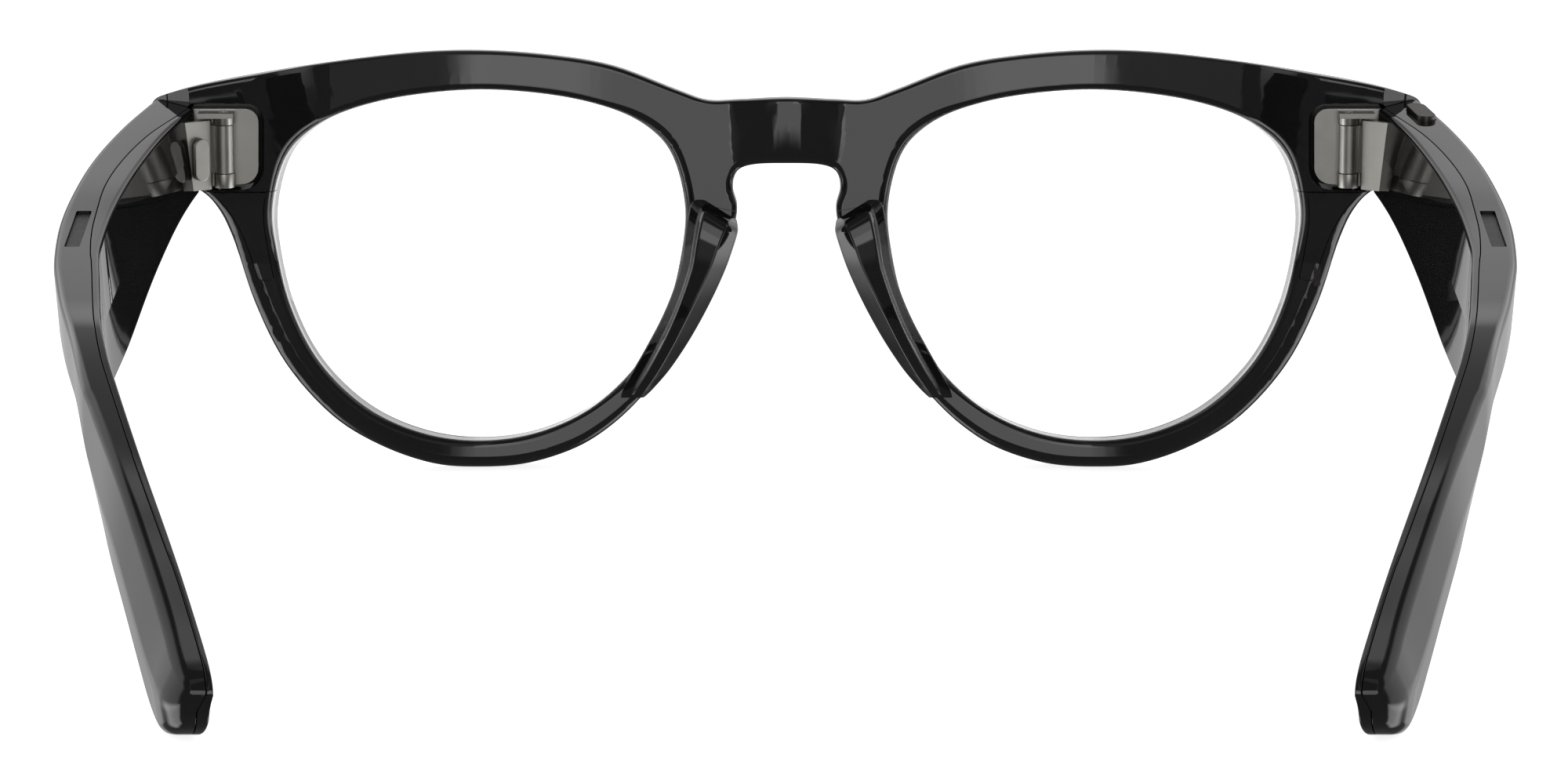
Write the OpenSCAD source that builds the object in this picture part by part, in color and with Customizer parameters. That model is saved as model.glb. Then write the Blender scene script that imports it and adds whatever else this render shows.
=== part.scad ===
// Smart glasses: a full-rim acetate-style front with two electronics temples on metal hinges.
// Row frame: +X to the wearer's right, +Y forwards, +Z up, standing on both rims and both tips.

/* [Front] */
// Distance between the two lens axes
lens_pitch = 73.2; // [68:0.1:78]
// Front thickness from back face to front face
front_t = 5.0; // [4:0.1:7]
// Plan radius of the front's back face
wrap_r = 300; // [200:5:600]
// Forward lean of the front, degrees
front_tilt = 5.5; // [0:0.5:12]
// Depth of the lens groove beyond the opening
groove_d = 0.65; // [0.3:0.05:1.2]
// Lens thickness
lens_t = 2.0; // [1.2:0.1:3]
// Lens front surface radius
lens_r = 160; // [90:5:400]
// Rear cover thickness
cover_t = 1.0; // [0.6:0.1:1.6]

/* [Hinges] */
// Hinge axis distance from the middle
axis_x = 66.25; // [60:0.05:72]
// Hinge axis behind the front's datum
axis_y = -8.8; // [-12:0.05:-4]
// Hinge barrel radius
barrel_r = 1.15; // [0.9:0.05:1.8]
// Hinge pin radius
pin_r = 0.60; // [0.4:0.05:0.9]
// Running clearance of the temple barrel on the pin
pin_fit = 0.05; // [0.01:0.01:0.10]

/* [Temples] */
// Thickness of the inner cover
skin_t = 1.2; // [0.8:0.1:2]
// Wall of the outer shell
wall_t = 1.2; // [0.8:0.1:2]
// Gap between the temple and the end piece
joint_gap = 0.15; // [0.1:0.05:0.5]

/* [Controls] */
// Height of the capture button above the temple
button_h = 0.6; // [0.4:0.1:1.2]
// Capture button press
button_travel = 0.35; // [0.2:0.05:0.6]
// Power slider travel
slider_travel = 1.2; // [0.6:0.1:2]

/* [View] */
// Node to draw
// Arm fold for a quick look, degrees
fold = 0; // [0:1:80]

/* [Hidden] */
black = [0.05, 0.05, 0.055];
soft_black = [0.09, 0.09, 0.095];
satin_metal = [0.56, 0.55, 0.51];
dark_metal = [0.2, 0.19, 0.18];
steel = [0.7, 0.7, 0.7];
clear_tint = [0.85, 0.9, 0.92, 0.25];
board_green = [0.05, 0.22, 0.13];
cell_grey = [0.62, 0.63, 0.65];
gold = [0.83, 0.68, 0.35];
amber = [0.55, 0.3, 0.08];
fit = 0.05;
seat_lean = 1.25;
shift_y = 70.44;
shift_z = 0.34;
front_y = -3.21;
front_z = 0.21;
lens_x = lens_pitch / 2;
lens_v = 24.4;
curve_steps = 4;
// plan circle of the front: the back face passes the datum at the lens axes
wrap_c = lens_x * lens_x / (2 * wrap_r) - wrap_r;
lens_a = asin(lens_x / wrap_r);
lens_apex = wrap_r + front_t / 2 + lens_t / 2 + 1.6;

// Catmull-Rom curves through a few chosen points
function cr(a, b, c, d, t) =
  0.5 * (2 * b + (c - a) * t + (2 * a - 5 * b + 4 * c - d) * t * t + (3 * b - a - 3 * c + d) * t * t * t);
function closed_curve(p, n) = [
  for (i = [0 : len(p) - 1]) for (k = [0 : n - 1])
    cr(p[(i + len(p) - 1) % len(p)], p[i], p[(i + 1) % len(p)], p[(i + 2) % len(p)], k / n)
];
function open_curve(p, n) = [
  for (i = [0 : len(p) - 2]) for (k = [0 : n - 1])
    cr(p[max(i - 1, 0)], p[i], p[i + 1], p[min(i + 2, len(p) - 1)], k / n),
  p[len(p) - 1]
];
function along(p, y, i = 0) =
  i >= len(p) - 2 || y >= p[i + 1][1]
    ? p[i][0] + (p[i + 1][0] - p[i][0]) * (y - p[i][1]) / (p[i + 1][1] - p[i][1])
    : along(p, y, i + 1);

// lens opening, half of it, about its own axis
half_eye = [
  [0, 20.85], [9, 20.1], [15.9, 18.4], [20.3, 16.0], [22.9, 12.8], [24.3, 7.5],
  [24.15, 2.5], [22.5, -4.8], [19.1, -11.6], [13.6, -17.1], [7, -20.25], [0, -21.25]
];
eye = closed_curve(concat(half_eye, [for (i = [len(half_eye) - 2 : -1 : 1]) [-half_eye[i][0], half_eye[i][1]]]), 4);
// right half of the front's outline, from the bridge top round to the bridge underside
half_front = [
  [0, 44.15], [5.7, 43.9], [9.5, 43.85], [13.2, 45.1], [20.8, 48.0], [28.3, 49.3], [36.7, 49.9],
  [45.1, 49.65], [56.3, 48.35], [67.3, 46.55], [72.8, 45.2], [75.2, 44.0], [75.7, 41.0],
  [75.0, 36.5], [72.5, 34.4], [69.4, 33.6], [67.4, 31.5], [65.9, 28.0], [63.4, 20.0], [59.8, 12.6],
  [54.5, 6.4], [48.8, 2.7], [42.5, 0.4], [36.7, -0.1], [31.0, 0.3], [25.3, 2.1], [20.9, 4.9],
  [17.0, 8.7], [13.4, 13.3], [10.3, 18.7], [7.9, 24.2], [6.3, 28.7], [5.95, 31.2], [6.45, 33.4],
  [5.9, 35.4], [3.9, 36.2], [0, 36.35]
];
front_outline = closed_curve(
  concat(half_front, [for (i = [len(half_front) - 2 : -1 : 1]) [-half_front[i][0], half_front[i][1]]]),
  curve_steps);

// temple plan, as distance from the middle against y, and its side view
arm_out = open_curve([
  [75.1, -3.2], [77.6, -15.3], [79.4, -28.7], [80.1, -41.6], [80.15, -54], [79.2, -67], [77.9, -76],
  [76.2, -85.5], [74.0, -96], [71.3, -108], [67.2, -121.3], [64.0, -131], [61.0, -140.4], [58.9, -148.6]
], curve_steps);
arm_in = open_curve([
  [69.5, -6.6], [71.6, -15.9], [72.9, -24.6], [74.0, -36.2], [74.6, -47.8], [74.6, -57.8], [74.2, -66.7],
  [73.3, -74.5], [72.3, -82.7], [71.2, -91], [69.9, -98.7], [68.2, -105.9], [63.7, -121.3],
  [60.1, -131], [56.75, -140.4], [53.9, -148.6]
], curve_steps);
arm_top = open_curve([
  [44.9, -3.2], [43.4, -15.3], [41.75, -28.7], [40.2, -41.6], [38.6, -54], [36.8, -69], [34.9, -84.7],
  [33.5, -96], [30.7, -106.5], [24.9, -121.3], [19.3, -131], [13.6, -140.4], [9.9, -146.6], [7.9, -148.1]
], curve_steps);
arm_low = open_curve([
  [34.6, -5.0], [33.4, -12], [29.2, -28.9], [25.0, -46.3], [23.2, -57], [21.7, -72], [20.9, -86],
  [20.1, -98], [18.0, -110], [12.9, -122.5], [7.4, -131.6], [4.4, -136.6], [3.1, -140.2], [2.9, -142.8],
  [3.5, -145.4], [4.8, -147.3], [6.6, -148.1]
], curve_steps);
// how far the outer and the inner face come in towards the lower edge
lean_out = [[0.6, -4], [1.2, -25], [1.9, -50], [2.4, -70], [2.3, -95], [1.2, -112], [0.5, -124], [0.3, -150]];
lean_in = [[-0.3, -4], [-1.4, -20], [-1.9, -45], [-1.5, -60], [-0.2, -78], [0.5, -95], [0.5, -150]];
// how far the outer edge of the top stands in, and how far the outer face bulges
edge_in = [[0, -1], [0, -98], [0.22, -110], [0.5, -120], [0.8, -129], [1.0, -136], [1.2, -142], [1.5, -149]];
bulge = [[0, -1], [0, -92], [0.3, -112], [0.4, -125], [0.45, -149]];
arm_ys = [
  -1, -6, -10, -15, -20, -26, -32, -38, -44, -50, -56, -62, -68, -74, -80, -86, -92, -97, -102, -107,
  -112, -117, -122, -127, -132, -136, -140, -143, -145.5, -147.2, -148.0
];
// mitred joint between end piece and temple
mitre = [[70.3, -7.4], [75.0, -3.2]];

module place() translate([0, shift_y, shift_z]) rotate([seat_lean, 0, 0]) children();
module in_front() place() translate([0, front_y, front_z]) rotate([-front_tilt, 0, 0]) children();
module turned(side) {
  a = side < 0 ? fold : -fold;
  place() translate([side * axis_x, axis_y, 0]) rotate([0, 0, a]) translate([-side * axis_x, -axis_y, 0]) children();
}
module sided(side) {
  if (side > 0) children();
  else mirror([1, 0, 0]) children();
}
// extrude a drawing of the front (x across, y up the front) through the front, from w0 to w1
module through(w0, w1) translate([0, w1, 0]) rotate([90, 0, 0]) linear_extrude(w1 - w0) children();
module wrap_shell(r0, r1, v0 = -5, v1 = 55) {
  translate([0, wrap_c, v0]) difference() {
    cylinder(r = r1, h = v1 - v0, $fn = 300);
    translate([0, 0, -1]) cylinder(r = r0, h = v1 - v0 + 2, $fn = 300);
  }
}
module eye_area(grow) {
  for (s = [-1, 1]) translate([s * lens_x, lens_v]) offset(delta = grow) polygon(eye);
}
module lens_shell(side, slack) {
  translate([0, wrap_c, 0]) rotate([0, 0, -side * lens_a]) translate([0, lens_apex - lens_r, lens_v])
    difference() {
      sphere(r = lens_r + slack, $fn = 240);
      sphere(r = lens_r - lens_t - slack, $fn = 240);
    }
}
// rear covers: one over the top bar and one down each temporal side, clear of the hinge seats
module cover_band() {
  difference() {
    offset(delta = -0.9) polygon(front_outline);
    eye_area(1.3);
  }
}
module top_cover_area(grow) {
  offset(delta = grow) intersection() {
    cover_band();
    polygon([
      [-57.2, 33.6], [-44, 43], [-14, 36], [-12.6, 31.8], [-5.8, 30.4], [5.8, 30.4], [12.6, 31.8],
      [14, 36], [44, 43], [57.2, 33.6], [61.9, 34.2], [61.9, 45.3], [70, 46], [70, 52], [-70, 52],
      [-70, 46], [-61.9, 45.3], [-61.9, 34.2]
    ]);
  }
}
module side_cover_area(side, grow) {
  offset(delta = grow) intersection() {
    cover_band();
    polygon([[side * 61.5, 22.8], [side * 66.5, 22.8], [side * 70, 33.4], [side * 60, 33.4]]);
  }
}
module hinge_seat_area(grow) {
  offset(delta = grow) hull() {
    translate([63.9, 42.6]) circle(r = 1.6, $fn = 32);
    translate([64.4, 37.2]) circle(r = 2.0, $fn = 32);
    translate([66.6, 35.0]) square([3.6, 9.2]);
  }
}
module end_block() {
  linear_extrude(60) polygon([
    [56, -3.6], [59.5, -5.2], [62, -6.6], [63.6, -7.3], mitre[0], mitre[1], [75.9, -1.6], [75.4, 3],
    [56, 3]
  ]);
}
// a position on the front's outer face: across x, up v, and w beyond the back face circle
module on_wrap(x, v) {
  translate([0, wrap_c, v]) rotate([0, 0, -asin(x / (wrap_r + front_t))]) translate([0, wrap_r + front_t, 0])
    rotate([-90, 0, 0]) children();
}

module front_frame() color(black) in_front() {
  difference() {
    union() {
      intersection() {
        through(-14, 12) polygon(front_outline);
        wrap_shell(wrap_r, wrap_r + front_t);
      }
      for (s = [-1, 1]) intersection() {
        through(-14, 12) polygon(front_outline);
        translate([0, wrap_c, -5]) cylinder(r = wrap_r + front_t, h = 60, $fn = 300);
        rotate([front_tilt, 0, 0]) translate([0, -front_y, -front_z]) sided(s) end_block();
      }
    }
    through(-16, 14) eye_area(0);
    for (s = [-1, 1]) intersection() {
      through(-14, 14) translate([s * lens_x, lens_v]) offset(delta = groove_d) polygon(eye);
      lens_shell(s, fit);
    }
    intersection() {
      through(-14, 12) {
        top_cover_area(fit);
        side_cover_area(-1, fit);
        side_cover_area(1, fit);
      }
      translate([0, wrap_c, -5]) cylinder(r = wrap_r + cover_t + fit, h = 60, $fn = 300);
    }
    // cable channel under the rear cover
    intersection() {
      through(-14, 12) channel_area();
      wrap_shell(wrap_r, wrap_r + 2.4);
    }
    on_wrap(-69.2, 40.2) translate([0, 0, -4.6]) cylinder(r = 2.65, h = 6, $fn = 64);
    on_wrap(-69.2, 40.2) translate([0, 0, -0.9]) cylinder(r = 3.45, h = 3, $fn = 64);
    on_wrap(69.2, 40.2) translate([0, 0, -4.1]) cylinder(r = 1.65, h = 5, $fn = 64);
    on_wrap(69.2, 40.2) translate([0, 0, -0.9]) cylinder(r = 2.45, h = 3, $fn = 64);
    through(-9, 1.2) translate([63.1, 23.4]) square([0.9, 2.6], center = true);
    contact_pockets();
    // hinge seats, square to the hinge axis, and the mitred ends
    rotate([front_tilt, 0, 0]) translate([0, -front_y, -front_z])
      for (s = [-1, 1]) sided(s) {
        mitre_side(0);
        translate([0, -5.3, 0]) rotate([90, 0, 0]) linear_extrude(6) hinge_seat_area(0.65);
        translate([0, -4.2, 0]) for (z = [36.6, 42.2])
          translate([64.7, 0, z]) rotate([90, 0, 0]) cylinder(r = 0.5, h = 3, $fn = 32);
      }
  }
}
module channel_area() {
  difference() {
    intersection() {
      offset(delta = -1.9) polygon(front_outline);
      polygon([
        [-60.5, 34], [-60.5, 47.5], [-30, 50], [-16, 46.2], [-8, 43], [8, 43], [16, 46.2], [30, 50],
        [60.5, 47.5], [60.5, 34], [53, 43], [36.6, 47], [20, 44.2], [8, 38.5], [-8, 38.5], [-20, 44.2],
        [-36.6, 47], [-53, 43]
      ]);
    }
    eye_area(2.2);
  }
}
// two slots under the bridge for the charging contacts
module contact_pockets() {
  for (s = [-1, 1]) translate([s * 2.15, 3.3, 36.2]) cube([1.7, 1.1, 2.4], center = true);
}
module cover_piece() {
  difference() {
    intersection() {
      through(-14, 12) children();
      wrap_shell(wrap_r, wrap_r + cover_t);
    }
    contact_pockets();
    through(-9, 9) translate([63.1, 23.4]) square([0.9, 2.6], center = true);
    rotate([front_tilt, 0, 0]) translate([0, -front_y, -front_z])
      for (s = [-1, 1]) sided(s) translate([0, 4, 0]) rotate([90, 0, 0]) linear_extrude(16) hinge_seat_area(0.75);
  }
}
module rear_cover() color(black) in_front() cover_piece() top_cover_area(0);
module side_cover(side) color(black) in_front() cover_piece() side_cover_area(side, 0);
module lens(side) color(clear_tint) in_front() intersection() {
  through(-14, 14) translate([side * lens_x, lens_v]) offset(delta = groove_d - fit) polygon(eye);
  lens_shell(side, 0);
}
module front_flex() color(amber) in_front() intersection() {
  through(-14, 12) offset(delta = -0.3) channel_area();
  wrap_shell(wrap_r + 1.7, wrap_r + 2.0);
}

// skin of triangles through a row of rings with equal point counts
module loft(rings) {
  m = len(rings[0]);
  n = len(rings);
  polyhedron(
    [for (ring = rings) for (p = ring) p],
    concat(
      [[for (j = [m - 1 : -1 : 0]) j]],
      [for (i = [0 : n - 2]) for (j = [0 : m - 1]) [i * m + (j + 1) % m, (i + 1) * m + j, i * m + j]],
      [for (i = [0 : n - 2]) for (j = [0 : m - 1])
        [(i + 1) * m + (j + 1) % m, (i + 1) * m + j, i * m + (j + 1) % m]],
      [[for (j = [0 : m - 1]) (n - 1) * m + j]]
    ), convexity = 6);
}
// nose pad: a ridge lofted along the nose side of the rim
// each station: height, nose edge x, ridge x, lens edge x, ridge stand-off
pad_rows = [
  [30.6, 6.0, 6.6, 9.2, 0.25], [29.6, 5.8, 6.7, 10.2, 1.4], [28.2, 5.85, 7.3, 10.9, 2.5],
  [26.0, 6.45, 8.4, 11.4, 3.4], [23.5, 7.35, 9.4, 11.9, 3.9], [20.5, 8.7, 10.8, 13.1, 4.0],
  [17.5, 10.25, 12.2, 14.5, 3.7], [14.5, 12.0, 13.7, 16.2, 3.0], [11.5, 14.05, 15.4, 18.2, 2.0],
  [9.3, 15.95, 16.9, 19.6, 1.0], [8.2, 17.1, 17.8, 20.0, 0.25]
];
function back_w(x) = wrap_c + sqrt(wrap_r * wrap_r - x * x);
function pad_ring(q) = [
  [q[1], back_w(q[1]) + 0.0, q[0]],
  [q[1] + 0.15, back_w(q[1]) - 0.45 * q[4], q[0]],
  [q[2], back_w(q[2]) - q[4], q[0]],
  [q[2] + 0.35 * (q[3] - q[2]), back_w(q[2]) - 0.86 * q[4], q[0]],
  [q[3], back_w(q[3]) + 0.0, q[0]]
];
module nose_pad(side) color(black) in_front() sided(side) difference() {
  loft([for (q = pad_rows) pad_ring(q)]);
  translate([0, wrap_c, 0]) difference() {
    cylinder(r = wrap_r + 20, h = 60, $fn = 300);
    translate([0, 0, -1]) cylinder(r = wrap_r, h = 62, $fn = 300);
  }
}

module hinge_plate(side) color(satin_metal) place() sided(side) difference() {
  union() {
    translate([0, -5.35, 0]) rotate([90, 0, 0]) linear_extrude(1.95) hinge_seat_area(0);
    // upper and lower knuckles with their webs
    for (z = [[42.6, 44.0], [35.1, 36.75]]) translate([0, 0, z[0]]) {
      translate([axis_x, axis_y, 0]) cylinder(r = barrel_r + 0.05, h = z[1] - z[0], $fn = 64);
      translate([axis_x - barrel_r - 0.05, axis_y, 0]) cube([2 * barrel_r + 0.1, 1.6, z[1] - z[0]]);
    }
    translate([axis_x - barrel_r - 0.05, -10.0, 43.4]) cube([4.15, 2.8, 0.6]);
  }
  translate([axis_x, axis_y, 30]) cylinder(r = pin_r + 0.01, h = 20, $fn = 64);
  for (z = [36.6, 42.2]) translate([64.7, -4, z]) rotate([90, 0, 0]) cylinder(r = 0.5, h = 2.75, $fn = 32);
}
module hinge_pin(side) color(steel) place() sided(side) translate([axis_x, axis_y, 35.15])
  cylinder(r = pin_r, h = 8.8, $fn = 64);
// headless screws that end blind in the plate
module hinge_screws(side) color(steel) place() sided(side) for (z = [36.6, 42.2])
  translate([64.7, -4.3, z]) rotate([90, 0, 0]) cylinder(r = 0.45, h = 2.4, $fn = 32);
module camera_window() color([0.02, 0.02, 0.03]) in_front() on_wrap(-69.2, 40.2)
  translate([0, 0, -0.85]) cylinder(r = 3.4, h = 0.9, $fn = 64);
module camera_module() color(dark_metal) in_front() on_wrap(-69.2, 40.2) {
  translate([0, 0, -3.3]) cylinder(r = 2.6, h = 2.4, $fn = 64);
  translate([0, 0, -4.2]) cylinder(r = 1.9, h = 1.0, $fn = 64);
}
module led_window() color([0.9, 0.92, 0.92, 0.6]) in_front() on_wrap(69.2, 40.2)
  translate([0, 0, -0.85]) cylinder(r = 2.4, h = 0.9, $fn = 64);
module led_board() color(board_green) in_front() on_wrap(69.2, 40.2)
  translate([0, 0, -3.9]) cylinder(r = 1.6, h = 2.9, $fn = 64);
module wear_sensor() color([0.12, 0.05, 0.06]) in_front()
  translate([63.1, back_w(63.1) + 1.05, 23.4]) cube([0.8, 2.0, 2.5], center = true);
module charge_contacts() color(gold) in_front()
  for (s = [-1, 1]) translate([s * 2.15, 3.3, 36.84]) cube([1.6, 1.0, 1.0], center = true);

// temple solid and its layers, right side, lofted through upright rings
function arm_h(y) = along(arm_top, y) - along(arm_low, y);
function cover_ring(y) = let(
    xi = along(arm_in, y), zt = along(arm_top, y), zb = along(arm_low, y), k = min(1, (zt - zb) / 7),
    li = along(lean_in, y))
  [
    [xi + 0.5 * k, y, zt], [xi + skin_t, y, zt], [xi + skin_t + li, y, zb], [xi + li + 0.7 * k, y, zb],
    [xi + li, y, zb + 1.0 * k], [xi, y, zt - 0.5 * k]
  ];
function shell_ring(y, inset) = let(
    xo = along(arm_out, y), xi = along(arm_in, y) + inset, zt = along(arm_top, y),
    zb = along(arm_low, y), h = zt - zb, k = min(1, h / 7), lo = along(lean_out, y), li = along(lean_in, y),
    e = along(edge_in, y), b = along(bulge, y))
  [
    [xi, y, zt], [xo - e - 0.5 * k, y, zt], [xo - 0.6 * e, y, zt - (0.6 + 0.8 * e) * k],
    [xo + b - 0.2 * lo, y, zt - 0.5 * h], [xo + 0.6 * b - lo, y, zb + (1.4 + e) * k],
    [xo - lo - (1.0 + e) * k, y, zb], [xi + li, y, zb]
  ];
function cavity_ring(y) = let(
    xo = along(arm_out, y), xi = along(arm_in, y), zt = along(arm_top, y) - 1.3,
    zb = along(arm_low, y) + 1.3, lo = along(lean_out, y), li = along(lean_in, y))
  [
    [xi + skin_t - 0.3, y, zt], [xo - wall_t, y, zt],
    [xo - wall_t - lo, y, zb], [xi + skin_t + li - 0.3, y, zb]
  ];
cover_front = -13;
module shell_block() {
  intersection() {
    loft(concat(
      [for (y = [0.5, -6, -10, cover_front + fit]) shell_ring(y, 0)],
      [for (y = concat([cover_front], [for (q = arm_ys) if (q < cover_front) q])) shell_ring(y, skin_t + fit)]
    ));
    mitre_side(joint_gap);
  }
}
module cover_block() {
  loft([for (y = concat([cover_front - fit], [for (q = arm_ys) if (q < cover_front) q])) cover_ring(y)]);
}
// everything behind the mitre plane
module mitre_side(gap) {
  a = atan2(mitre[1][1] - mitre[0][1], mitre[1][0] - mitre[0][0]);
  translate([mitre[0][0], mitre[0][1], -5]) rotate([0, 0, a]) translate([-180, -260 - gap, 0])
    cube([260, 260, 60]);
}
// leaf in plan: hinge arm, visible plate and the tang that is screwed into the shell
module leaf_plan(grow) {
  offset(delta = grow) polygon([
    [67.1, -9.75], [67.3, -9.1], [70.9, -11.55], [72.2, -12.6], [73.5, -21.6], [74.4, -21.5],
    [73.2, -12.1], [71.4, -10.75], [67.75, -8.3], [66.9, -8.35]
  ]);
}
// the plate of the leaf is full height, its tang is lower so that it stays inside the temple
module leaf_solid(grow) {
  translate([0, 0, 34.9 - grow]) linear_extrude(8.2 + 2 * grow) intersection() {
    leaf_plan(grow);
    translate([67.75, -13]) square([10, 13]);
  }
  translate([0, 0, 36.3 - grow]) linear_extrude(5.4 + 2 * grow) intersection() {
    leaf_plan(grow);
    translate([67.75, -30]) square([10, 18]);
  }
}
module arm_cavity() {
  loft([for (y = [-22.6, -28, -34, -40, -46, -52, -58, -64, -70, -76, -82, -88, -94, -99, -103]) cavity_ring(y)]);
}
port_y = -57.5;
// block at the sound port, between two depths below the top face, with play all round
module port_block(low, high, play) {
  translate([along(arm_out, port_y) - 2.35, port_y, along(arm_top, port_y)]) rotate([7, 0, -1])
    translate([play - 0.85, play - 7, -low]) cube([1.7 - 2 * play, 14 - 2 * play, low - high]);
}
button_pos = [74.5, -10.6];
module at_button(z) {
  translate([button_pos[0], button_pos[1], z]) rotate([6.8, 0, 10.5]) children();
}
button_z = along(arm_top, -10.6);
module button_shape(r, len, h) {
  hull() for (s = [-1, 1]) translate([0, s * (len / 2 - r), 0]) cylinder(r = r, h = h, $fn = 32);
}
module temple_shell(side) color(black) turned(side) sided(side) difference() {
  shell_block();
  arm_cavity();
  leaf_solid(fit);
  port_block(3.5, -1, 0);
  for (y = [-15.4, -19.2]) leaf_hole(y, 0.5, 0, 4);
  if (side > 0) {
    at_button(button_z) translate([0, 0, -1.5]) button_shape(1.2, 6.5, 4);
    at_button(button_z) translate([0, 0, -2.6]) cylinder(r = 1.2, h = 2, $fn = 48);
  }
}
module temple_cover(side) color(soft_black) turned(side) sided(side) difference() {
  cover_block();
  leaf_solid(fit);
}
// screw line through the leaf's tang, from one depth to another
module leaf_hole(y, r, from, to) {
  translate([72.15 - (y + 12.6) * 0.145, y, 39]) rotate([0, 90, 8]) translate([0, 0, from])
    cylinder(r = r, h = to - from, $fn = 32);
}
module hinge_leaf(side) color(satin_metal) turned(side) sided(side) difference() {
  union() {
    leaf_solid(0);
    translate([axis_x, axis_y, 36.85]) cylinder(r = barrel_r, h = 5.65, $fn = 64);
    translate([0, 0, 36.85]) linear_extrude(5.65) intersection() {
      leaf_plan(0);
      translate([66, -14]) square([3, 10]);
    }
  }
  translate([axis_x, axis_y, 30]) cylinder(r = pin_r + pin_fit, h = 20, $fn = 64);
  for (y = [-15.4, -19.2]) leaf_hole(y, 0.5, -1, 4);
  // slot that guides the slider stem
  if (side < 0) at_slider() translate([-0.45, -1.2, 36.9]) cube([0.9, 2.4, 3.9]);
}
module leaf_screws(side) color(steel) turned(side) sided(side)
  for (y = [-15.4, -19.2]) leaf_hole(y, 0.45, 0.1, 2.7);
// slider frame: middle of the visible leaf plate, x along the plate
module at_slider() {
  translate([69.2, -9.95, 0]) rotate([0, 0, -34.2]) children();
}
module power_switch() color(satin_metal) turned(-1) sided(-1) at_slider() {
  translate([0, -0.52, 36.4]) rotate([90, 0, 0]) hull()
    for (z = [0.65, 3.75]) translate([0, z, 0]) cylinder(r = 0.95, h = 0.6, $fn = 32);
  translate([-0.35, -0.6, 37.0]) cube([0.7, 1.0, 2.4]);
}
// a frame at a place along the temple: x across it, y back along it, z up it
function heading(y) = atan((along(arm_in, y + 6) - along(arm_in, y - 6)) / -12);
function pitch(y) = atan((along(arm_top, y + 6) - along(arm_top, y - 6)) / 12);
module in_arm(y, drop) {
  f = drop / arm_h(y);
  mid = along(arm_in, y) + skin_t + along(lean_in, y) * f + along(arm_out, y) - wall_t - along(lean_out, y) * f;
  translate([mid / 2, y, along(arm_top, y) - drop]) rotate([pitch(y), 0, 0]) rotate([0, 0, heading(y)])
    children();
}
module block(w, l, h) translate([-w / 2, -l / 2, -h / 2]) cube([w, l, h]);
module board(side) color(board_green) turned(side) sided(side) {
  in_arm(-33, 6.3) block(0.7, 17, 6.0);
  in_arm(-30, 6.0) translate([0.65, 0, 0]) block(0.7, 5, 4.2);
  in_arm(-38, 6.4) translate([0.6, 0, 0]) block(0.6, 3.4, 3.4);
}
// section of a part shaped to the cavity, between two drops below the temple's top
function inside_ring(y, high, low, play) = let(
    h = arm_h(y), zt = along(arm_top, y), xi = along(arm_in, y) + skin_t + play,
    xo = along(arm_out, y) - wall_t - play, li = along(lean_in, y), lo = along(lean_out, y))
  [
    [xi + max(0, li) * low / h, y, zt - high], [xo - lo * high / h, y, zt - high],
    [xo - lo * low / h, y, zt - low], [xi + max(0, li) * low / h, y, zt - low]
  ];
module inside(y0, y1, high, low, play) {
  loft([for (k = [0 : 4]) inside_ring(y0 + (y1 - y0) * k / 4, high, low, play)]);
}
module speaker(side) color(dark_metal) turned(side) sided(side) inside(-50.5, -64, 4.0, 8.6, 0.3);
module speaker_grille(side) color([0.03, 0.03, 0.03]) turned(side) sided(side) port_block(1.55, 0.35, 0.05);
module battery(side) color(cell_grey) turned(side) sided(side) {
  inside(-70, -83, 1.8, 6.6, 0.3);
  inside(-84.5, -92, 1.6, 4.4, 0.15);
}
module touch_sensor_right() color(amber) turned(1) in_arm(-44.6, 6.4)
  translate([1.05, 0, 0]) block(0.3, 9, 5.0);
module button_switch_right() color(steel) turned(1) at_button(button_z)
  translate([0, 0, -2.55]) cylinder(r = 1.15, h = 0.6, $fn = 48);
module capture_button() color(dark_metal) turned(1) at_button(button_z) {
  translate([0, 0, -1.1]) button_shape(1.13, 6.36, 1.1 + button_h);
  translate([0, 0, -1.55]) cylinder(r = 0.5, h = 0.6, $fn = 32);
}

front_frame();
rear_cover();
side_cover(-1);  // side_cover_left
side_cover(1);  // side_cover_right
lens(-1);  // lens_left
lens(1);  // lens_right
nose_pad(-1);  // nose_pad_left
nose_pad(1);  // nose_pad_right
hinge_plate(-1);  // hinge_plate_left
hinge_plate(1);  // hinge_plate_right
hinge_pin(-1);  // hinge_pin_left
hinge_pin(1);  // hinge_pin_right
hinge_screws(-1);  // hinge_screws_left
hinge_screws(1);  // hinge_screws_right
camera_window();
camera_module();
led_window();
led_board();
wear_sensor();
charge_contacts();
front_flex();
temple_shell(-1);  // temple_shell_left
temple_cover(-1);  // temple_cover_left
hinge_leaf(-1);  // hinge_leaf_left
leaf_screws(-1);  // leaf_screws_left
board(-1);  // board_left
speaker(-1);  // speaker_left
speaker_grille(-1);  // speaker_grille_left
battery(-1);  // battery_left
power_switch();
temple_shell(1);  // temple_shell_right
temple_cover(1);  // temple_cover_right
hinge_leaf(1);  // hinge_leaf_right
leaf_screws(1);  // leaf_screws_right
board(1);  // main_board_right
speaker(1);  // speaker_right
speaker_grille(1);  // speaker_grille_right
battery(1);  // battery_right
touch_sensor_right();
button_switch_right();
capture_button();
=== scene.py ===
import math

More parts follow.
